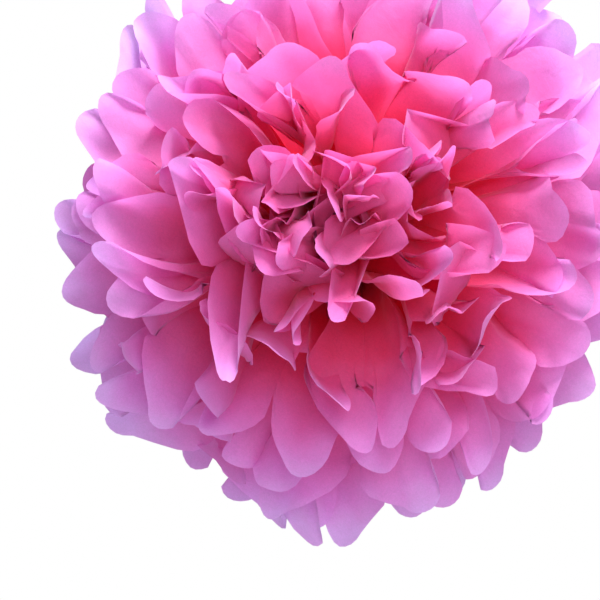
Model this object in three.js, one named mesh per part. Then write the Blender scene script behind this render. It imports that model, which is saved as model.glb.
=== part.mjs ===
// A tissue paper pom pom: a stack of sheets pleated together, gathered at the middle by a wire,
// trimmed round at both ends, and pulled apart sheet by sheet into a ball of petals.
// Millimetres, +Z up. The origin is the middle of the tie. The ball's two poles, where the
// innermost petals close up, lie along -Y (the front) and +Y (the back). The pleats ran along X,
// so each sheet opens into a left fan and a right fan, which meet above and below the tie.
import * as THREE from "three";

// The paper as it comes off the stack. Real tissue is about 0.03 mm thick, and is drawn thicker.
const sheetCount = 12;
const sheetWidth = 500;
const sheetLength = 350;
const pleatWidth = 36;
const paperThickness = 0.3;
const paperGap = 0.3;
const mitreLimit = 1.6;

// The scissor cut that rounds each pleat's end, from the notch at a fold to the petal's tip. Some
// petals are cut shorter, by up to the trim's share. The pattern picks which ones: with this one
// the ball reaches equally far to both sides of the tie, within half a millimetre.
const petalRounding = 40;
const petalTrim = 0.2;
const trimPattern = 238;
const petalSquareness = 0.8;
const rimSteps = 5;

// The gathered waist under the wire.
const waistWidth = 16;
const waistHalfLength = 3;

// How the sheets are pulled apart. Each has a band of its own between the poles. Its folds swing
// over a share of that band and its petals curl over a wider one, with the freedom's share of the
// way to its edge, so that neighbours stay apart. The bow carries the middle of each sheet
// towards its pole, and there its folds have opened by a share of what they open by at the end.
const poleOpening = THREE.MathUtils.degToRad(2.5);
const foldBand = 0.6;
const petalBand = 0.88;
const petalFreedom = 0.6;
const sheetTurn = 0.9;
const bow = THREE.MathUtils.degToRad(6);
const bowShare = 0.45;
const bowOpened = 0.7;

// How the pleats of a fan stand side by side round the pole. An open pleat takes at least a share
// of its width. Where the circle is too short to open them all, pairs stay closed between the
// open ones, as fins, and a closed pleat takes a small share of its open neighbour's room. No
// place holds more pleats than stated. The easing is how much shallower than full a fold can be.
const openShare = 0.75;
const closedShare = 0.18;
const openUnevenness = 0.2;
const foldEasing = 0.3;
const placePleats = 3;
const spreadShare = 0.98;

// How the petals bend towards their pole: from the curl's start, as a share of the way out to the
// notch, by the curl over each of its lengths. The petals near a pole curl most. An arch takes up
// the slack between two folds that stand closer than the paper between them is wide. More of
// the pleats arch towards their pole than away from it, as the bias is raised.
const curlStart = 0.7;
const curlAtPole = THREE.MathUtils.degToRad(42);
const curlAtEquator = THREE.MathUtils.degToRad(6);
const curlFading = 4;
const curlSpread = THREE.MathUtils.degToRad(45);
const curlLength = 60;
const archFactor = 3 / 8;
const archLimit = 9;
const archShare = 0.35;
const bulgeBias = 0.2;
const ballUnevenness = 5;

// The wire: an eye for the hanging thread, a twisted stem, a loop round the waist, a twisted
// tail. Twisted strands lie the spread times a wire's radius from the middle of the twist, and
// come together over the crossing, in wires.
const wireDiameter = 0.9;
const wireClearance = 0.3;
const wireCorner = 1.5;
const strandSpread = 1.3;
const crossingShare = 2;
const twistPitch = 6;
const stemTurns = 2;
const tailTurns = 1;
const eyeDiameter = 14;
const wireStep = 1.3;
const stepsPerTurn = 6;
const eyeSteps = 8;

// The tries that finding a fold's offset direction takes to settle.
const fittingTries = 120;

const tissuePink = new THREE.MeshStandardMaterial({
  color: 0xf0569f,
  roughness: 0.85,
  metalness: 0,
  side: THREE.DoubleSide,
});
const wireSteel = new THREE.MeshStandardMaterial({
  color: 0xb9bcc0,
  roughness: 0.4,
  metalness: 0.9,
});

const pleatCount = Math.round(sheetWidth / pleatWidth);
const foldedWidth = sheetWidth / pleatCount;
const sheetPitch = paperThickness + paperGap;
const stackHeight = sheetCount * sheetPitch - paperGap;
const bundleRounding = (Math.ceil(sheetCount / 2) - 1) * sheetPitch;

// A repeatable uneven number from -1 to 1 for each set of whole numbers.
function uneven(...numbers) {
  let state = 17;
  for (const n of numbers) state = (state * 1103 + (n + 3) * 7919) % 65521;
  for (let pass = 0; pass < 3; pass += 1) state = (state * state + state * 2711 + 1409) % 65521;
  return (2 * state) / 65520 - 1;
}

// Where a sheet stands: its bend at the waist, how far out its notches are, and the angle from
// its own pole, the front one for the first half of the stack and the back one for the rest.
function standSheet(index) {
  const depth = Math.min(index, sheetCount - 1 - index);
  const bend = waistHalfLength + depth * sheetPitch;
  const tip = sheetLength / 2 - bend;
  const notch = tip - petalRounding;
  const band = Math.PI / sheetCount;
  const pole = index < sheetCount / 2 ? 1 : -1;
  return { index, bend, tip, notch, band, pole, polar: (depth + 0.5) * band };
}

// The angle that a whole fan of one sheet opens to: half a turn, or less if the paper is too
// narrow, because only a share of its width can be pulled out of the pleats.
function openingAngle({ bend, notch }) {
  const opened = Math.min(Math.PI, (spreadShare * sheetWidth) / notch);
  return opened + 2 * Math.asin((bend - sheetPitch) / notch);
}

// How many pleats each place of a fan holds: an open one, and pairs that stay closed beside it.
function placeSizes(stand) {
  const { notch, polar } = stand;
  const fits = (openingAngle(stand) * notch * Math.sin(polar)) / (openShare * foldedWidth);
  let places = Math.min(Math.max(Math.round(fits), Math.ceil(pleatCount / placePleats)), pleatCount);
  places += (pleatCount - places) % 2;
  const sizes = new Array(places).fill(1);
  const pairs = (pleatCount - places) / 2;
  for (let pair = 0; pair < pairs; pair += 1) {
    sizes[Math.floor(((pair + 0.5) * places) / pairs)] += 2;
  }
  return sizes;
}

// The folds of one fan: each one's angle round the pole and angle from it, out at the notches.
// The pleats between them have a curl, and an arch where their folds stand close.
function layFan(stand, side) {
  const { index, notch, band, polar } = stand;
  const sizes = placeSizes(stand);
  const rooms = sizes.map((_, place) => 1 + openUnevenness * uneven(index, side, place, 1));
  const total = rooms.reduce((sum, room) => sum + room);
  const curl = curlAtEquator + (curlAtPole - curlAtEquator) * Math.cos(polar) ** curlFading;
  let round = -openingAngle(stand) / 2;
  let way = uneven(index, side, 2) > 0 ? 1 : -1;
  const folds = [{ round, polar: polar - (way * band * foldBand) / 2 }];
  const pleats = [];
  sizes.forEach((size, place) => {
    const room = (openingAngle(stand) * rooms[place]) / total;
    for (let i = 0; i < size; i += 1) {
      const pleat = pleats.length;
      const share = i === 0 ? 1 - closedShare * (size - 1) : closedShare;
      const width = room * share * notch * Math.sin(polar);
      const depth = Math.sqrt(Math.max(foldedWidth ** 2 - width ** 2, 0)) / notch;
      const eased = 1 - (foldEasing * (1 - uneven(index, side, pleat, 3))) / 2;
      round += room * share;
      folds.push({ round, polar: polar + (way * Math.min(depth, band * foldBand) * eased) / 2 });
      way = -way;
      const deep = (folds[pleat + 1].polar - folds[pleat].polar) * notch;
      const chord = Math.hypot(width, deep);
      const slack = chord * Math.sqrt(archFactor * Math.max(foldedWidth / chord - 1, 0));
      const bulge = uneven(index, side, pleat, 6) > -bulgeBias ? 1 : -1;
      const arch = bulge * Math.min(slack, archLimit, archShare * width);
      const curled = (uneven(index, side, pleat, 4) + uneven(index, side, pleat, 5)) / 2;
      pleats.push({
        curl: curl + curlSpread * curled,
        archUp: (arch * width) / chord,
        archOver: (arch * deep) / chord,
        trim: 1 - (petalTrim * (1 + uneven(index, side, pleat, trimPattern))) / 2,
      });
    }
  });
  return { folds, pleats };
}

// A gentle sway of the whole ball, nothing at the tie and most at the tips, so that it isn't
// perfectly round. It is smooth, so sheets that are apart stay apart, and it leaves the ball's
// middle at the tie. The numbers inside the sines are radians from the middle to the outside.
function settle(point) {
  const radius = sheetLength / 2;
  const strength = ballUnevenness * Math.min(1, point.length() / radius) ** 2;
  const { x, y, z } = point.clone().divideScalar(radius);
  point.x += strength * Math.sin(1.3 * y + 2.1 * z);
  point.y += strength * Math.sin(1.9 * x - 1.1 * z);
  point.z += strength * Math.sin(2.3 * x + 1.7 * y);
  return point;
}

// One sheet as a surface without thickness: points, and triangles that name them. Side is 1 for
// the right fan and -1 for the left, and folds count from the bottom of a fan to its top.
function sheetSurface(stand) {
  const { index, bend, tip, notch, band, pole, polar } = stand;
  const level = (index - (sheetCount - 1) / 2) * sheetPitch;
  const gathered = waistWidth - 2 * (bundleRounding - (bend - waistHalfLength));
  const turn = (pole * sheetTurn * uneven(index) * openingAngle(stand)) / pleatCount;
  const nearest = Math.max(polar - (petalBand * band) / 2, poleOpening);
  const farthest = polar + (petalBand * band) / 2;
  const points = [];
  const triangles = [];

  function add(point) {
    points.push(settle(point));
    return points.length - 1;
  }
  function face(side, a, b, c) {
    triangles.push(side * pole > 0 ? [a, b, c] : [a, c, b]);
  }
  function place(side, across, along, round, angle) {
    const share = along / tip;
    const turned = round + side * turn * share;
    const width = gathered * (across / pleatCount - 0.5) * (1 - share);
    return new THREE.Vector3(
      side * (bend + along * Math.sin(angle) * Math.cos(turned)),
      level - pole * along * Math.cos(angle),
      width + along * Math.sin(angle) * Math.sin(turned),
    );
  }

  function fan(side) {
    const { folds, pleats } = layFan(stand, side);
    const waist = [];
    const halfway = [];
    const ends = [];
    folds.forEach((fold, i) => {
      const even = openingAngle(stand) * (i / pleatCount - 0.5);
      const round = even + (fold.round - even) * bowOpened;
      const angle = polar + (fold.polar - polar) * bowOpened;
      waist.push(add(place(side, i, 0, even, polar)));
      halfway.push(add(place(side, i, notch * bowShare, round, angle - bow * Math.sin(2 * angle))));
      const curl = ((pleats[i - 1] ?? pleats[i]).curl + (pleats[i] ?? pleats[i - 1]).curl) / 2;
      ends.push(add(bentPlace(side, i, notch, fold.round, fold.polar, curl, 0)));
    });
    pleats.forEach((pleat, i) => {
      const middle = pleatPlace(side, i, 0.5, notch, pleat);
      const [w0, w1] = [waist[i], waist[i + 1]];
      const [h0, h1] = [halfway[i], halfway[i + 1]];
      const [e0, e1, e2] = [ends[i], add(middle), ends[i + 1]];
      face(side, w0, h1, h0);
      face(side, w0, w1, h1);
      face(side, h0, e1, e0);
      face(side, h0, h1, e1);
      face(side, h1, e2, e1);
      petal(side, i, pleat, e0, e1, e2);
    });
    return waist;

    // A place on a pleat, a share of the way across it, where the paper is arched and curled.
    function pleatPlace(way, i, share, along, pleat) {
      const [left, right] = [folds[i], folds[i + 1]];
      const hump = 4 * share * (1 - share);
      const over = (hump * pleat.archOver) / (along * Math.sin(polar));
      const round = left.round + (right.round - left.round) * share + over;
      const angle = left.polar + (right.polar - left.polar) * share;
      return bentPlace(way, i + share, along, round, angle, pleat.curl, hump * pleat.archUp);
    }
    function bentPlace(way, across, along, round, angle, curl, arch) {
      const turned = along - curlStart * notch;
      const half = (curl * turned) / curlLength / 2;
      const lift = (turned * Math.sin(half) + arch) / along;
      const room = petalFreedom * (lift > 0 ? angle - nearest : farthest - angle);
      const kept = angle - room * Math.tanh(lift / room);
      return place(way, across, along - turned * (1 - Math.cos(half)), round, kept);
    }

    // The rounded end of one pleat, cut round from notch to notch.
    function petal(way, i, pleat, left, centre, right) {
      const rim = [left];
      for (let step = 1; step < rimSteps; step += 1) {
        const cut = (Math.PI * step) / rimSteps;
        const along = notch + petalRounding * pleat.trim * Math.sin(cut) ** petalSquareness;
        rim.push(add(pleatPlace(way, i, (1 - Math.cos(cut)) / 2, along, pleat)));
      }
      rim.push(right);
      for (let k = 0; k + 1 < rim.length; k += 1) face(way, centre, rim[k + 1], rim[k]);
    }
  }

  const right = fan(1);
  const left = fan(-1);
  for (let i = 0; i < pleatCount; i += 1) {
    face(1, left[i], right[i + 1], right[i]);
    face(1, left[i], left[i + 1], right[i + 1]);
  }
  return { points, triangles };
}

// The direction that leans least from any of the faces around a point, so that a copy moved
// along it stays on the same side of all of them.
function evenDirection(normals) {
  const direction = new THREE.Vector3();
  for (const normal of normals) direction.add(normal);
  direction.normalize();
  for (let i = 1; i <= fittingTries; i += 1) {
    let widest = normals[0];
    for (const normal of normals) {
      if (normal.dot(direction) < widest.dot(direction)) widest = normal;
    }
    direction.addScaledVector(widest, 1 / (i + 1)).normalize();
  }
  return direction;
}

// Gives a surface its thickness: two copies, half of it to each side, closed along the edges.
// A sharp fold is drawn out to keep its sides thick, but no further than the mitre limit.
function thicken({ points, triangles }, thickness) {
  const around = points.map(() => []);
  for (const corners of triangles) {
    const [a, b, c] = corners.map((corner) => points[corner]);
    const normal = new THREE.Triangle(a, b, c).getNormal(new THREE.Vector3());
    for (const corner of corners) around[corner].push(normal);
  }
  const directions = around.map(evenDirection);
  const steepest = around.map((normals, i) => {
    return Math.min(...normals.map((normal) => normal.dot(directions[i])));
  });
  const positions = [];
  for (const side of [1, -1]) {
    points.forEach((point, i) => {
      const offset = (side * thickness) / 2 / Math.max(steepest[i], 1 / mitreLimit);
      positions.push(...point.clone().addScaledVector(directions[i], offset));
    });
  }
  const back = points.length;
  const faces = triangles.flatMap(([a, b, c]) => [a, b, c, a + back, c + back, b + back]);
  const edges = new Map();
  for (const [a, b, c] of triangles) {
    for (const [from, to] of [[a, b], [b, c], [c, a]]) {
      if (!edges.delete(`${to} ${from}`)) edges.set(`${from} ${to}`, [from, to]);
    }
  }
  for (const [from, to] of edges.values()) {
    faces.push(from, to + back, to, from, from + back, to + back);
  }
  const geometry = new THREE.BufferGeometry();
  geometry.setAttribute("position", new THREE.Float32BufferAttribute(positions, 3));
  geometry.setIndex(faces);
  return geometry;
}

function tissueSheet(index) {
  const geometry = thicken(sheetSurface(standSheet(index)), paperThickness);
  const mesh = new THREE.Mesh(geometry, tissuePink);
  mesh.name = `tissue_sheet_${String(index + 1).padStart(2, "0")}`;
  return mesh;
}

// The middle line of half the wire, from the end of the tail to the top of the eye. The other
// half is the same, turned half a turn about the stem.
function halfWireLine() {
  const radius = wireDiameter / 2;
  const front = -(stackHeight / 2 + wireClearance + radius);
  const top = waistWidth / 2 + wireClearance + radius;
  const strandOffset = strandSpread * radius;
  const crossing = crossingShare * wireDiameter;
  const eyeRadius = eyeDiameter / 2;
  const line = [];

  function twist(start, turns) {
    for (let i = 0; i <= turns * stepsPerTurn; i += 1) {
      const turn = i / stepsPerTurn;
      line.push(
        new THREE.Vector3(
          strandOffset * Math.sin(2 * Math.PI * turn),
          -strandOffset * Math.cos(2 * Math.PI * turn),
          start + turn * twistPitch,
        ),
      );
    }
  }
  twist(-top - crossing - tailTurns * twistPitch, tailTurns);
  line.push(new THREE.Vector3(0, front + wireCorner, -top));
  line.push(new THREE.Vector3(0, front, -top + wireCorner));
  line.push(new THREE.Vector3(0, front, 0));
  line.push(new THREE.Vector3(0, front, top - wireCorner));
  line.push(new THREE.Vector3(0, front + wireCorner, top));
  twist(top + crossing, stemTurns);
  const eyeBottom = top + crossing + stemTurns * twistPitch;
  for (let i = 1; i <= eyeSteps; i += 1) {
    const angle = (Math.PI * i) / eyeSteps;
    const height = eyeBottom + eyeRadius * (1 - Math.cos(angle));
    line.push(new THREE.Vector3(0, -eyeRadius * Math.sin(angle), height));
  }
  return line;
}

function wireTie() {
  const half = halfWireLine();
  const turned = half.slice(0, -1).reverse();
  const line = new THREE.CatmullRomCurve3(
    [...half, ...turned.map(({ x, y, z }) => new THREE.Vector3(-x, -y, z))],
    false,
    "centripetal",
  );
  const section = new THREE.Shape();
  section.absarc(0, 0, wireDiameter / 2, 0, 2 * Math.PI);
  const geometry = new THREE.ExtrudeGeometry(section, {
    steps: Math.round(line.getLength() / wireStep),
    curveSegments: 3,
    bevelEnabled: false,
    extrudePath: line,
  });
  const mesh = new THREE.Mesh(geometry, wireSteel);
  mesh.name = "wire_tie";
  return mesh;
}

const pomPom = new THREE.Group();
for (let index = 0; index < sheetCount; index += 1) pomPom.add(tissueSheet(index));
pomPom.add(wireTie());

export default pomPom;
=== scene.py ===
import math

import bpy
import numpy as np
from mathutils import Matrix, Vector


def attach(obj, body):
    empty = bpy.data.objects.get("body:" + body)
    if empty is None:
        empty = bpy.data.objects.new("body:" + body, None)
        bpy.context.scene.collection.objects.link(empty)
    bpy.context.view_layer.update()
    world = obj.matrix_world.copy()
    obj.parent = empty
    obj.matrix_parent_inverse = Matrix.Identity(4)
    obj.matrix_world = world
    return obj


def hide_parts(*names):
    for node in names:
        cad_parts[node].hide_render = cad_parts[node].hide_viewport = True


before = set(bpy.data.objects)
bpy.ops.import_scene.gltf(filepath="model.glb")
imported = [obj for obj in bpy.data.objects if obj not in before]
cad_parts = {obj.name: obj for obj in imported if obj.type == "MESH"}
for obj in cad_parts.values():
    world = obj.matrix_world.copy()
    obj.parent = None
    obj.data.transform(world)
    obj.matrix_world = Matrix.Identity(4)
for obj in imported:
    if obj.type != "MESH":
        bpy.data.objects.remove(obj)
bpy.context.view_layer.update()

# A tissue paper pom pom. Each sheet is laid as finer paper over the folds of its solid, and its
# petals bend, crease and roll on from there. Metres and radians.

# The paper: what one sheet measures flat, how it was pleated, and how its ends were cut round.
SHEETS = 12
SHEET_WIDTH = 0.500
SHEET_LENGTH = 0.350
PLEATS = 14
PLEAT_WIDTH = SHEET_WIDTH / PLEATS
TIP = SHEET_LENGTH / 2
ROUNDING = 0.040

# The gathered waist under the wire.
WAIST_WIDTH = 0.016
WAIST_HALF_LENGTH = 0.003
SHEET_PITCH = 0.0006

# How finely a sheet is meshed: columns across a pleat, and rows from the waist to a petal's tip.
# A share of the rows' places is drawn towards the tips, by the power.
COLUMNS = 16
ROWS = 40
DRAWN_ROWS = 0.65
DRAWN_POWER = 1.6

# How the pleats of a fan stand side by side round the pole, as in the solids. Where the circle is
# too short to open them all, pairs stay closed between the open ones. An open pleat takes at
# least a share of its width, and a closed one a small share of its open neighbour's room. The
# easing is how much shallower than full a fold can be.
BAND = math.pi / SHEETS
FOLD_BAND = 0.6
SPREAD_SHARE = 0.98
OPEN_SHARE = 0.75
CLOSED_SHARE = 0.18
OPEN_UNEVENNESS = 0.2
PLACE_PLEATS = 3
FOLD_EASING = 0.3
SHEET_TURN = 0.9

# On its way out a fold leaves the gathered waist early, and bows towards its pole.
OPENING_POWER = 1.9
BOW = math.radians(6)

# Picks one way in which the petals fall.
PATTERN = 430

# Six values each, from the sheets at the poles to those at the equator: how unevenly petals roll
# and how unevenly they swing, in radians, which share of them bends away from its pole, and how
# many times its plain curl a petal bends.
ROLL_SPREAD = (0.3, 0.35, 0.3, 0.25, 0.2, 0.2)
SWING_SPREAD = (0.24, 0.24, 0.22, 0.24, 0.26, 0.26)
BENT_BACK = (0.45, 0.5, 0.45, 0.35, 0.35, 0.55)
BENT_MORE = (0.9, 1.25, 1.5, 1.35, 1.4, 1.6)

# Where each bend of a petal sets in and where it is full, in shares of the way from the waist to
# the notches. Past the notches a petal is free along its edges too. Inside them its own bends
# give way to its folds, over a share of its half width.
FOLD_WINDOW = 0.45
ROLL_REACH = (0.9, 1.22)
FREE_REACH = (1.0, 1.08)
ARCH_REACH = (0.1, 0.9)
ARCH_FADE_REACH = (1.0, 1.3)
GATHER_END_REACH = (0.35, 0.75)
PRESSED_REACH = (0.6, 1.05)
CURL_START = 0.7
SWING_START = 0.6
CUP_REACH = (0.75, 1.15)
RUFFLE_REACH = (0.85, 1.2)

# Cut: the shortest and the longest petal past the notches, in shares of the rounding, how far a
# tip stands off its petal's middle, and how full the round end is.
TRIM = (0.72, 1.06)
TIP_SKEW = 0.25
LOBE_POWER = 2.2
LOBE_ROOT = 0.55

# Roll: the share of the way by which petals turn flat to their pole. Closed ones turn less in
# the sheets at the poles, and stay narrower. A petal's normal is on the side of its pole, or
# inwards, which counts for a quarter as much.
ROLLED_OPEN = (0.7, 1.0)
ROLLED_CLOSED = 0.9
ROLLED_CLOSED_AT_POLE = 0.4
POLAR_SHEETS = 2
CLOSED_WIDTH = 0.85
INWARD_WEIGHT = 0.25

# Arch: how a pleat stands up between two folds that are closer than its paper is wide. The
# height of a shallow arch, as a share of its chord, is the square root of 3/8 of the slack. More
# of the pleats arch towards their pole than away from it, as the bias is raised.
ARCH_FACTOR = 3 / 8
ARCH_LIMIT = 0.008
ARCH_CLOSED = 0.4
ARCH_FADED = 0.7
NARROWEST_PLACE = 0.01
BULGE_BIAS = 0.2

# Gathers near the waist: their greatest depth. Creases pressed into some petals: how their depth
# spreads, their place across the petal, and the share of petals that have one.
GATHER_LIMIT = 0.0038
PRESSED_SPREAD = 0.0045
PRESSED_PLACE = (0.3, 0.7)
PRESSED_SHARE = 0.6

# Curl: the least, what the poles add, how that fades away from them, how uneven it is, and the
# length of paper over which a petal turns by it.
CURL_LEAST = math.radians(6)
CURL_AT_POLE = math.radians(36)
CURL_FADING = 4
CURL_SPREAD = math.radians(45)
CURL_STRAY = math.radians(10)
CURL_CLOSED = 0.15
CURL_LENGTH = 0.060
CURL_LIMITS = (-1.4, 1.5)

# Cup and ruffle: how high a petal's edges rise, from which place across, and the rim's waves.
CUP_DEPTH = 0.004
CUP_SPREAD = 0.003
CUP_LEVEL = 0.4
RUFFLE_DEPTH = 0.0012
RUFFLE_WAVES = 1.3

# The ball as a whole: a sway, and how much farther its petals reach where they hang at the bottom
# and at the upper shoulders, as in the photo. The places are in shares of the ball's radius.
SWAY_DEPTH = 0.005
HANG = 0.085
HANG_BELOW = (0.55, 1.0)
HANG_MIDDLE = 0.1
HANG_HALF_WIDTH = 0.45
HANG_SOFTNESS = 0.35
SHOULDERS = 0.06
SHOULDERS_ABOVE = (0.25, 0.75)
SHOULDERS_ASIDE = (0.25, 0.65)

# Crumpling: wavelengths and depths of what five waves make together, which is about 2.2 times as
# deep as one of them. It is none at the tie and full from a short way out.
CRUMPLES = ((0.060, 0.0022), (0.024, 0.0006), (0.011, 0.00022))
CRUMPLE_WAVES = 5
WAVES_TOGETHER = 2.2
WAVE_STRETCH = (0.7, 1.4)
CRUMPLE_RADIUS = (0.02, 0.12)
CRUMPLE_SEED = 90

# Dye and painted light: painted shade, deep crimson, lies at the inner radius, where petals lie
# deep between others, and a painted cool highlight, pale lilac, at the outer one, with the pink
# dye between them and soft clouds. Towards the poles the radius is lowered, by so much times the
# square of the way there, for more painted shade. The fibres make flecks of it darker and lighter.
PAINTED_LIGHT_RADIUS = (0.084, 0.170)
PAINTED_LIGHT_CLOUDS = 0.012
POLE_SHADE_LOWERING = -1.3
# The stops run from painted crimson shade, through the pink dye, to a painted lilac highlight.
DYE_AND_PAINTED_LIGHT_STOPS = (
    (0.0, (0.88, 0.03, 0.09, 1)),
    (0.28, (0.90, 0.09, 0.26, 1)),
    (0.55, (0.88, 0.21, 0.56, 1)),
    (0.80, (0.87, 0.34, 0.78, 1)),
    (1.0, (0.87, 0.52, 0.95, 1)),
)
FLECKS = (0.93, 1.05)
TRANSLUCENCY = 0.44

# The wire's steel, from dull to bright, and from smooth to rough.
STEEL_STOPS = ((0.35, (0.34, 0.34, 0.35, 1)), (0.6, (0.62, 0.63, 0.66, 1)))
STEEL_ROUGHNESS = (0.28, 0.5)


def smooth(x, low=0.0, high=1.0):
    """From 0 at the low end to 1 at the high end, with soft ends."""
    t = np.clip((np.asarray(x, float) - low) / (high - low), 0, 1)
    return t * t * (3 - 2 * t)


def unit(v):
    return v / np.maximum(np.linalg.norm(v, axis=-1, keepdims=True), 1e-12)


def uneven(*numbers):
    """A repeatable uneven number from -1 to 1 for each set of whole numbers."""
    state = 17
    for n in numbers:
        state = (state * 1103 + (n + 3) * 7919) % 65521
    for _ in range(3):
        state = (state * state + state * 2711 + 1409) % 65521
    return 2 * state / 65520 - 1


class SheetShape:
    """Where one sheet stands in the ball, and where its folds lie."""

    def __init__(self, index):
        self.index = index
        self.rng = np.random.default_rng(PATTERN + index)
        self.depth = min(index, SHEETS - 1 - index)
        self.bend = WAIST_HALF_LENGTH + self.depth * SHEET_PITCH
        rounding = (SHEETS / 2 - 1 - self.depth) * SHEET_PITCH
        self.gathered = WAIST_WIDTH - 2 * rounding
        self.level = (index - (SHEETS - 1) / 2) * SHEET_PITCH
        self.tip = TIP - self.bend
        self.notch = self.tip - ROUNDING
        self.pole = 1 if index < SHEETS / 2 else -1
        self.polar = (self.depth + 0.5) * BAND
        opened = min(math.pi, SPREAD_SHARE * SHEET_WIDTH / self.notch)
        self.opening = opened + 2 * math.asin((self.bend - SHEET_PITCH) / self.notch)
        self.turn = self.pole * SHEET_TURN * uneven(index) * self.opening / PLEATS

    def sizes(self):
        """How many pleats each place of a fan holds: an open one, and pairs that stay closed."""
        fits = self.opening * self.notch * math.sin(self.polar) / (OPEN_SHARE * PLEAT_WIDTH)
        places = min(max(round(fits), math.ceil(PLEATS / PLACE_PLEATS)), PLEATS)
        places += (PLEATS - places) % 2
        sizes = np.ones(places, int)
        pairs = (PLEATS - places) // 2
        for pair in range(pairs):
            sizes[int((pair + 0.5) * places / pairs)] += 2
        return sizes

    def folds(self, side):
        """Each fold's angle from the pole and round it, and each pleat's state and curl."""
        sizes = self.sizes()
        key = self.index, side
        rooms = np.array([1 + OPEN_UNEVENNESS * uneven(*key, p, 1) for p in range(len(sizes))])
        rooms = rooms * self.opening / rooms.sum()
        around, way = -self.opening / 2, 1 if uneven(*key, 2) > 0 else -1
        azimuth, polar = [around], [self.polar - way * BAND * FOLD_BAND / 2]
        closed, curl = [], []
        mean = CURL_LEAST + CURL_AT_POLE * math.cos(self.polar) ** CURL_FADING
        for room, size in zip(rooms, sizes):
            for i in range(size):
                k = len(closed)
                share = 1 - CLOSED_SHARE * (size - 1) if i == 0 else CLOSED_SHARE
                width = room * share * self.notch * math.sin(self.polar)
                deep = math.sqrt(max(PLEAT_WIDTH**2 - width**2, 0)) / self.notch
                eased = 1 - FOLD_EASING / 2 + FOLD_EASING / 2 * uneven(*key, k, 3)
                around += room * share
                azimuth.append(around)
                polar.append(self.polar + way * min(deep, BAND * FOLD_BAND) * eased / 2)
                way = -way
                closed.append(i > 0)
                curled = (uneven(*key, k, 4) + uneven(*key, k, 5)) / 2
                curl.append(mean + CURL_SPREAD * curled)
        return np.array(polar), np.array(azimuth), np.array(closed), np.array(curl)


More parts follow.
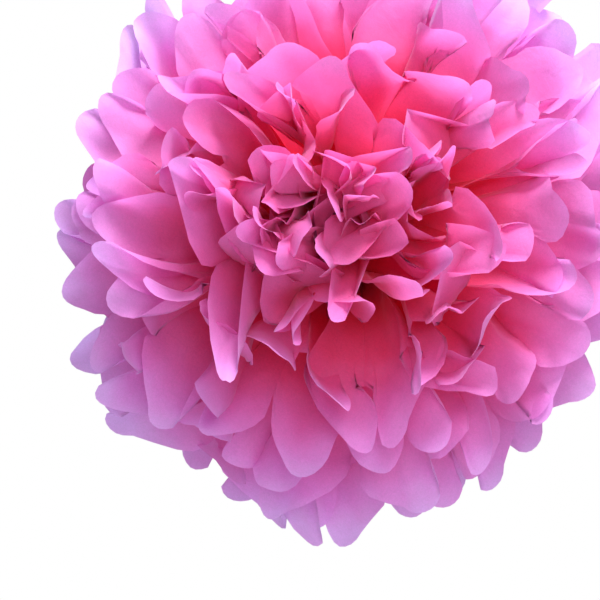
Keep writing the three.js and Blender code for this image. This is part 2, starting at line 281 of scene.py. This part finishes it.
class Fan:
    """One side of a sheet, as a grid of columns round the pole by rows from the waist to the cut.

    Across each pleat t runs from 0 to 1. The reach is 0 at the waist and 1 at the notches. All
    random numbers come from the sheet's own generator: those of the cut first, and then the
    others in the order of the calls in points()."""

    def __init__(self, shape, side):
        self.shape = shape
        self.side = side
        self.rng = shape.rng
        self.polar, self.azimuth, self.closed, self.curl = shape.folds(side)
        self.column = np.arange(PLEATS * COLUMNS + 1)
        self.pleat = np.minimum(self.column // COLUMNS, PLEATS - 1)
        self.t = ((1 - np.cos(math.pi * (self.column / COLUMNS - self.pleat))) / 2)[:, None]
        self.window = smooth(1 - np.abs(2 * self.t - 1), 0.0, FOLD_WINDOW)

        row = np.linspace(0, 1, ROWS + 1)
        row = row * (1 - DRAWN_ROWS) + DRAWN_ROWS * (1 - (1 - row) ** DRAWN_POWER)
        along = row[None, :] * self.cut()
        self.reach = along / shape.notch
        self.left = self.ray(self.pleat[:, None], along)
        self.right = self.ray(self.pleat[:, None] + 1, along)

        # At the notch, each petal's width and its ways outwards, round the pole and to the pole.
        at_notch = self.ray(np.arange(PLEATS + 1), np.full(PLEATS + 1, shape.notch))
        self.chord = np.linalg.norm(at_notch[1:] - at_notch[:-1], axis=-1)
        across = (at_notch[1:] - at_notch[:-1]) / self.chord[:, None]
        self.outward = unit(at_notch[1:] + at_notch[:-1])
        self.pole_way = np.array([0, -shape.pole, 0.0])
        round_way = unit(np.cross(self.pole_way, self.outward))
        self.round_way = round_way * np.sign((round_way * across).sum(-1, keepdims=True))

    def each(self, values):
        """One value for each petal, in all its columns."""
        return values[self.pleat][:, None]

    def blended(self, values):
        """A petal's value at its middle, and the mean of both neighbours' at a fold."""
        padded = np.concatenate([values[:1], values, values[-1:]])
        fold = (padded[1:] + padded[:-1]) / 2
        edge = self.each(fold) * (1 - self.t) + self.each(fold[1:]) * self.t
        return edge * (1 - self.window) + self.each(values) * self.window

    def cut(self):
        """Each column's length, from the waist to the round cut."""
        trim = self.rng.uniform(*TRIM, PLEATS)
        skew = self.rng.uniform(-TIP_SKEW, TIP_SKEW, PLEATS)
        bent = self.t + self.each(skew) * self.t * (1 - self.t)
        lobe = np.maximum(1 - np.abs(2 * bent - 1) ** LOBE_POWER, 0) ** LOBE_ROOT
        return self.shape.notch + ROUNDING * lobe * self.each(trim)

    def ray(self, fold, a):
        """Where a fold is, a metres out: from its place in the waist to the notch, and on."""
        shape = self.shape
        reach = a / shape.notch
        share = fold / PLEATS - 0.5
        opened = 1 - (1 - reach).clip(0) ** OPENING_POWER
        even = shape.opening * share
        turned = self.side * shape.turn * a / shape.tip
        psi = even + (self.azimuth[fold] - even) * opened + turned
        theta = shape.polar + (self.polar[fold] - shape.polar) * opened
        theta = theta - BOW * np.sin(2 * theta) * (4 * reach * (1 - reach)).clip(0)
        x = self.side * (shape.bend + a * np.sin(theta) * np.cos(psi))
        y = shape.level - shape.pole * a * np.cos(theta)
        waist = shape.gathered * share
        z = waist * (1 - a / shape.tip) + a * np.sin(theta) * np.sin(psi)
        return np.stack([x, y, z], -1)

    def rolled(self):
        """Past its folds a petal turns its face to the pole, and opens to its full width."""
        pole_side = unit(np.cross(self.round_way, self.outward))
        pole_side = pole_side * np.sign(pole_side @ self.pole_way)[:, None]
        lean = self.rng.normal(0, ROLL_SPREAD[self.shape.depth], PLEATS)[:, None]
        aim = self.round_way * np.cos(lean) + pole_side * np.sin(lean)
        shown = ROLLED_CLOSED_AT_POLE if self.shape.depth < POLAR_SHEETS else ROLLED_CLOSED
        rolled_closed = self.rng.uniform(0.0, shown, PLEATS)
        rolled_open = self.rng.uniform(*ROLLED_OPEN, PLEATS)
        rolled = np.where(self.closed, rolled_closed, rolled_open)
        paper_width = PLEAT_WIDTH * np.where(self.closed, CLOSED_WIDTH, 1.0)
        full = np.maximum(self.chord, paper_width) / 2

        free = np.clip(self.window + smooth(self.reach, *FREE_REACH), 0, 1)
        g = self.each(rolled) * smooth(self.reach, *ROLL_REACH) * free
        half = (self.right - self.left) / 2
        width = np.linalg.norm(half, axis=-1)
        wide = width * (1 - g) + self.each(full) * g
        folded = half * (1 - g[..., None]) / np.maximum(width, 1e-6)[..., None]
        facing = unit(folded + self.each(aim) * g[..., None])
        centre = (self.left + self.right) / 2
        return centre + facing * (wide * (2 * self.t - 1))[..., None], facing

    def normals(self, facing, out):
        """Each petal's own normal, on the side of its pole, and shared at its folds."""
        normal = unit(np.cross(facing, np.broadcast_to(out, facing.shape)))
        sign = np.sign(normal @ self.pole_way - INWARD_WEIGHT * (normal * out).sum(-1))
        middle_sign = sign[np.arange(PLEATS) * COLUMNS + COLUMNS // 2, -1]
        normal = normal * self.each(np.where(middle_sign == 0, 1, middle_sign))[..., None]
        at_fold = self.column % COLUMNS == 0
        previous = np.maximum(self.column - 1, 0)
        shared_normal = unit(normal + normal[previous])
        return np.where(at_fold[:, None, None], shared_normal, normal)

    def arched(self):
        """Where a pleat's folds stand closer than its paper is wide, it arches between them."""
        stretch = PLEAT_WIDTH / np.maximum(self.chord, NARROWEST_PLACE)
        slack = np.sqrt(ARCH_FACTOR * np.maximum(stretch - 1, 0))
        bulges = [uneven(self.shape.index, self.side, k, 6) > -BULGE_BIAS for k in range(PLEATS)]
        arch = np.minimum(slack * self.chord, ARCH_LIMIT) * np.where(bulges, 1, -1)
        arch = arch * np.where(self.closed, ARCH_CLOSED, 1)
        hump = (4 * self.t * (1 - self.t)) * smooth(self.reach, *ARCH_REACH)
        return self.each(arch) * (hump * (1 - ARCH_FADED * smooth(self.reach, *ARCH_FADE_REACH)))

    def gathers(self):
        """Near the waist the paper is crushed into fine creases that run out from the tie."""
        gap = np.linalg.norm(self.right - self.left, axis=-1)
        crease = np.sqrt(np.maximum(PLEAT_WIDTH**2 - gap**2, 0)) / COLUMNS
        crease = np.minimum(crease, GATHER_LIMIT) * (1 - smooth(self.reach, *GATHER_END_REACH))
        return crease * ((self.column % COLUMNS) % 2)[:, None]

    def pressed(self):
        """A crease that was pressed into the stack runs down some petals, off their middle."""
        place = self.each(self.rng.uniform(*PRESSED_PLACE, PLEATS))
        depth = self.rng.normal(0, PRESSED_SPREAD, PLEATS)
        depth = depth * (self.rng.random(PLEATS) < PRESSED_SHARE)
        hat = np.minimum(self.t / place, (1 - self.t) / (1 - place))
        return self.each(depth) * hat * smooth(self.reach, *PRESSED_REACH)

    def curled(self):
        """Past its bending place a petal turns to the pole or away: its lift, and its way back."""
        depth = self.shape.depth
        back = np.where(self.rng.random(PLEATS) < BENT_BACK[depth], -1, 1)
        curl = self.curl * back * np.where(self.closed, CURL_CLOSED, BENT_MORE[depth])
        curl = curl + self.rng.normal(0, CURL_STRAY, PLEATS)
        turned = np.maximum(self.reach - CURL_START, 0) * self.shape.notch
        angle = np.clip(self.blended(curl) * (turned / CURL_LENGTH), *CURL_LIMITS)
        return turned * np.sin(angle / 2), turned * (1 - np.cos(angle / 2))

    def swung(self):
        """Petals lean to one side or the other, over their neighbours."""
        swing = self.blended(self.rng.normal(0, SWING_SPREAD[self.shape.depth], PLEATS))
        swing = swing * np.maximum(self.reach - SWING_START, 0) * self.shape.notch
        return self.each(self.round_way) * swing[..., None]

    def cupped(self):
        """A petal's edges rise towards the pole, or fall away."""
        cup = self.each(self.rng.normal(CUP_DEPTH, CUP_SPREAD, PLEATS))
        return cup * ((2 * self.t - 1) ** 2 - CUP_LEVEL) * smooth(self.reach, *CUP_REACH)

    def ruffled(self):
        """A slow wave runs along the petal's rim."""
        phase = self.each(self.rng.uniform(0, 2 * math.pi, PLEATS))
        wave = RUFFLE_DEPTH * np.sin(2 * math.pi * RUFFLE_WAVES * self.t + phase)
        return wave * smooth(self.reach, *RUFFLE_REACH) * self.window

    def points(self):
        """The grid's points, as columns by rows by three."""
        base, facing = self.rolled()
        out = self.each(self.outward)
        normal = self.normals(facing, out)
        lift = self.arched() + self.gathers() + self.pressed()
        curl_lift, shortened = self.curled()
        base = base + self.swung()
        lift = lift + curl_lift + self.cupped() + self.ruffled()
        return sway(base + normal * lift[..., None] - out * shortened[..., None])


def sway(points):
    """A gentle sway of the whole ball, nothing at the tie and most at the tips."""
    strength = SWAY_DEPTH * np.minimum(1, np.linalg.norm(points, axis=-1) / TIP) ** 2
    x, y, z = np.moveaxis(points / TIP, -1, 0)
    aside = np.abs(x - HANG_MIDDLE)
    hang = smooth(-z, *HANG_BELOW) * smooth(HANG_HALF_WIDTH - aside, 0, HANG_SOFTNESS)
    shoulders = smooth(z, *SHOULDERS_ABOVE) * smooth(np.abs(x), *SHOULDERS_ASIDE)
    points = points * (1 + HANG * hang + SHOULDERS * shoulders)[..., None]
    waves = 1.3 * y + 2.1 * z, 1.9 * x - 1.1 * z, 2.3 * x + 1.7 * y
    return points + np.sin(np.stack(waves, -1)) * strength[..., None]


def crumple(points, seed):
    """Small unevenness of the paper, in the ball's own space."""
    rng = np.random.default_rng(seed)
    radius = np.linalg.norm(points, axis=-1, keepdims=True)
    strength = smooth(radius, *CRUMPLE_RADIUS)
    out = points.copy()
    for size, depth in CRUMPLES:
        for _ in range(CRUMPLE_WAVES):
            wave = unit(rng.normal(size=3)) * 2 * math.pi / (size * rng.uniform(*WAVE_STRETCH))
            move = unit(rng.normal(size=3)) * depth / WAVES_TOGETHER
            phase = rng.uniform(0, 2 * math.pi)
            out += np.sin(points @ wave + phase)[..., None] * move * strength
    return out


def make_sheet(index):
    """One sheet of paper, both of its fans in one mesh, with its folds marked sharp."""
    shape = SheetShape(index)
    right = Fan(shape, 1).points()
    left = Fan(shape, -1).points()
    # The left fan's rows run back to the waist, so that the whole sheet is one grid.
    whole = np.concatenate([left[:, ::-1], right], axis=1)
    whole = crumple(whole, CRUMPLE_SEED + index)
    columns, rows = whole.shape[:2]
    ids = np.arange(columns * rows).reshape(columns, rows)
    quads = np.stack([ids[:-1, :-1], ids[1:, :-1], ids[1:, 1:], ids[:-1, 1:]], -1)
    name = f"tissue_sheet_{index + 1:02d}_paper"
    mesh = bpy.data.meshes.new(name)
    mesh.from_pydata(whole.reshape(-1, 3).tolist(), [], quads.reshape(-1, 4).tolist())
    mesh.validate()
    mesh.update()
    mesh.polygons.foreach_set("use_smooth", [True] * len(mesh.polygons))
    ends = np.empty(2 * len(mesh.edges), int)
    mesh.edges.foreach_get("vertices", ends)
    on_fold = (ends.reshape(-1, 2) // rows) % COLUMNS == 0
    mesh.edges.foreach_set("use_edge_sharp", on_fold.all(axis=1).tolist())
    obj = bpy.data.objects.new(name, mesh)
    bpy.context.scene.collection.objects.link(obj)
    return obj


def add_node(tree, kind, inputs=None, **settings):
    """A new node. Each of its inputs is given a value, or another node's output to link to."""
    node = tree.nodes.new(kind)
    for name, value in settings.items():
        setattr(node, name, value)
    for name, value in (inputs or {}).items():
        if isinstance(value, bpy.types.NodeSocket):
            tree.links.new(value, node.inputs[name])
        else:
            node.inputs[name].default_value = value
    return node


def noise(tree, place, **inputs):
    return add_node(tree, "ShaderNodeTexNoise", {"Vector": place, **inputs}).outputs["Fac"]


def ranged(tree, value, to, given=(0.0, 1.0)):
    """A value carried over from one range to another."""
    inputs = {"Value": value, "From Min": given[0], "From Max": given[1]}
    inputs.update({"To Min": to[0], "To Max": to[1]})
    return add_node(tree, "ShaderNodeMapRange", inputs).outputs["Result"]


def computed(tree, operation, first, second):
    inputs = {0: first, 1: second}
    return add_node(tree, "ShaderNodeMath", inputs, operation=operation).outputs[0]


def ramped(tree, value, stops):
    """The colour that a value from 0 to 1 picks between stops."""
    node = add_node(tree, "ShaderNodeValToRGB", {"Fac": value})
    elements = node.color_ramp.elements
    elements[0].position, elements[0].color = stops[0]
    elements[1].position, elements[1].color = stops[-1]
    for position, colour in stops[1:-1]:
        elements.new(position).color = colour
    return node.outputs["Color"]


def bumped(tree, height, **inputs):
    return add_node(tree, "ShaderNodeBump", {"Height": height, **inputs}).outputs["Normal"]


def paper_material():
    """Thin pink tissue, with painted crimson shade down between the petals and a painted lilac
    highlight at their tips.
    """
    material = bpy.data.materials.new("pink_tissue")
    material.use_nodes = True
    tree = material.node_tree
    tree.nodes.clear()
    place = add_node(tree, "ShaderNodeTexCoord").outputs["Object"]
    fibres = noise(tree, place, Scale=900, Detail=3, Distortion=1.2)

    # The colour is picked by how far out the paper is, with soft clouds in it: painted shade deep
    # down between the petals, the pink dye further out, and a painted highlight at the tips. The
    # petals at the poles get the painted shade of those farther down.
    out = add_node(tree, "ShaderNodeVectorMath", {0: place}, operation="LENGTH").outputs["Value"]
    pole_side = add_node(tree, "ShaderNodeSeparateXYZ", {0: place}).outputs["Y"]
    near_pole = computed(tree, "MULTIPLY", pole_side, pole_side)
    lowering = computed(tree, "MULTIPLY", near_pole, POLE_SHADE_LOWERING)
    lowered = computed(tree, "ADD", out, lowering)
    clouds = noise(tree, place, Scale=38, Detail=4)
    clouds = ranged(tree, clouds, to=(-PAINTED_LIGHT_CLOUDS, PAINTED_LIGHT_CLOUDS))
    radius = computed(tree, "ADD", lowered, clouds)
    span = ranged(tree, radius, to=(0.0, 1.0), given=PAINTED_LIGHT_RADIUS)
    flecks = ranged(tree, fibres, to=FLECKS, given=(0.3, 0.7))
    # Painted shade deep down and a painted highlight at the tips, over the pink dye.
    inputs = {0: ramped(tree, span, DYE_AND_PAINTED_LIGHT_STOPS), "Scale": flecks}
    tint = add_node(tree, "ShaderNodeVectorMath", inputs, operation="SCALE").outputs["Vector"]

    # Handling marks: shallow dents with soft ridges between them, and the fibres' own texture.
    dents = noise(tree, place, Scale=95, Detail=5, Roughness=0.6, Distortion=0.8)
    dented = bumped(tree, dents, Strength=0.30, Distance=0.0022)
    bump = bumped(tree, fibres, Strength=0.12, Distance=0.0002, Normal=dented)

    front = {
        "Base Color": tint,
        "Normal": bump,
        "Roughness": 0.62,
        "Specular IOR Level": 0.35,
        "Sheen Weight": 0.35,
        "Sheen Roughness": 0.45,
        "Sheen Tint": (0.80, 0.75, 1.0, 1),
    }
    front = add_node(tree, "ShaderNodeBsdfPrincipled", front)
    through = add_node(tree, "ShaderNodeBsdfTranslucent", {"Color": tint})
    inputs = {"Fac": TRANSLUCENCY, 1: front.outputs[0], 2: through.outputs[0]}
    mix = add_node(tree, "ShaderNodeMixShader", inputs)
    add_node(tree, "ShaderNodeOutputMaterial", {0: mix.outputs[0]})
    return material


def wire_material():
    """Bare florist's wire: drawn steel with fine streaks and a few dull spots."""
    material = bpy.data.materials.new("wire_steel")
    material.use_nodes = True
    tree = material.node_tree
    steel = tree.nodes["Principled BSDF"]
    steel.inputs["Metallic"].default_value = 1.0
    place = add_node(tree, "ShaderNodeTexCoord").outputs["Object"]
    streaks = noise(tree, place, Scale=1800, Detail=4)
    tree.links.new(ramped(tree, streaks, STEEL_STOPS), steel.inputs["Base Color"])
    tree.links.new(ranged(tree, streaks, to=STEEL_ROUGHNESS), steel.inputs["Roughness"])
    return material


paper = paper_material()
for index in range(SHEETS):
    piece = make_sheet(index)
    piece.data.materials.append(paper)
    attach(piece, "root")
    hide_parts(f"tissue_sheet_{index + 1:02d}")

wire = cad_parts["wire_tie"]
wire.data.materials.clear()
wire.data.materials.append(wire_material())

# Round lamps, all aimed at the tie: name, place, width, watts and colour.
LAMPS = (
    ("key", (0.7, -1.0, 1.85), 1.0, 84, (0.96, 0.92, 1.0)),
    ("sky", (0.0, 0.1, 2.2), 1.2, 48, (0.66, 0.84, 1.0)),
    ("fill", (0.6, -2.0, 0.3), 1.2, 14, (1.0, 0.92, 0.98)),
)
for name, place, width, power, colour in LAMPS:
    data = bpy.data.lights.new(name, "AREA")
    data.shape = "DISK"
    data.size = width
    data.energy = power
    data.color = colour
    lamp = bpy.data.objects.new(name, data)
    bpy.context.scene.collection.objects.link(lamp)
    lamp.location = place
    lamp.rotation_euler = (-Vector(place)).to_track_quat("-Z", "Y").to_euler()

# The camera sees plain white behind the ball, and the paper is lit by a dimmer, bluer sky.
world = bpy.data.worlds.new("studio")
bpy.context.scene.world = world
world.use_nodes = True
tree = world.node_tree
tree.nodes.clear()
path = add_node(tree, "ShaderNodeLightPath")
lit = add_node(tree, "ShaderNodeBackground", {"Color": (0.76, 0.84, 1.0, 1), "Strength": 0.40})
seen = add_node(tree, "ShaderNodeBackground", {"Color": (1, 1, 1, 1), "Strength": 1.0})
inputs = {0: path.outputs["Is Camera Ray"], 1: lit.outputs[0], 2: seen.outputs[0]}
pick = add_node(tree, "ShaderNodeMixShader", inputs)
add_node(tree, "ShaderNodeOutputWorld", {0: pick.outputs[0]})

# The camera looks along the front pole, from a little to the right of it and below it.
DISTANCE = 1.5
AZIMUTH = math.radians(5.7)
ELEVATION = math.radians(-5.4)
SENSOR_WIDTH = 36

# In pixels of the photo: the ball's radius, and how far right of the picture's middle and above
# it the ball's middle lies.
PICTURE_WIDTH = 600
BALL_RADIUS = 300
BALL_RIGHT = 50
BALL_UP = 62
METRES_PER_PIXEL = TIP / BALL_RADIUS

camera_data = bpy.data.cameras.new("camera")
camera = bpy.data.objects.new("camera", camera_data)
bpy.context.scene.collection.objects.link(camera)
bpy.context.scene.camera = camera
level = math.cos(ELEVATION)
toward = Vector((math.sin(AZIMUTH) * level, -math.cos(AZIMUTH) * level, math.sin(ELEVATION)))
rotation = toward.to_track_quat("Z", "Y")
right_way, up_way = rotation @ Vector((1, 0, 0)), rotation @ Vector((0, 1, 0))
centre = -BALL_RIGHT * METRES_PER_PIXEL * right_way - BALL_UP * METRES_PER_PIXEL * up_way
camera.location = centre + toward * DISTANCE
camera.rotation_euler = rotation.to_euler()
camera_data.sensor_width = SENSOR_WIDTH
camera_data.lens = SENSOR_WIDTH * DISTANCE / (PICTURE_WIDTH * METRES_PER_PIXEL)

# A grey floor, well below the ball.
FLOOR_RADIUS = 1.4
FLOOR_LEVEL = -0.55
FLOOR_GREY = (0.6, 0.6, 0.6, 1)
bpy.ops.mesh.primitive_circle_add(
    vertices=96, radius=FLOOR_RADIUS, fill_type="NGON", location=(0, 0, FLOOR_LEVEL)
)
floor = bpy.context.object
floor.name = "floor"
floor_material = bpy.data.materials.new("floor")
floor_material.use_nodes = True
floor_surface = floor_material.node_tree.nodes["Principled BSDF"]
floor_surface.inputs["Base Color"].default_value = FLOOR_GREY
floor.data.materials.append(floor_material)

bpy.context.scene.view_settings.view_transform = "Standard"
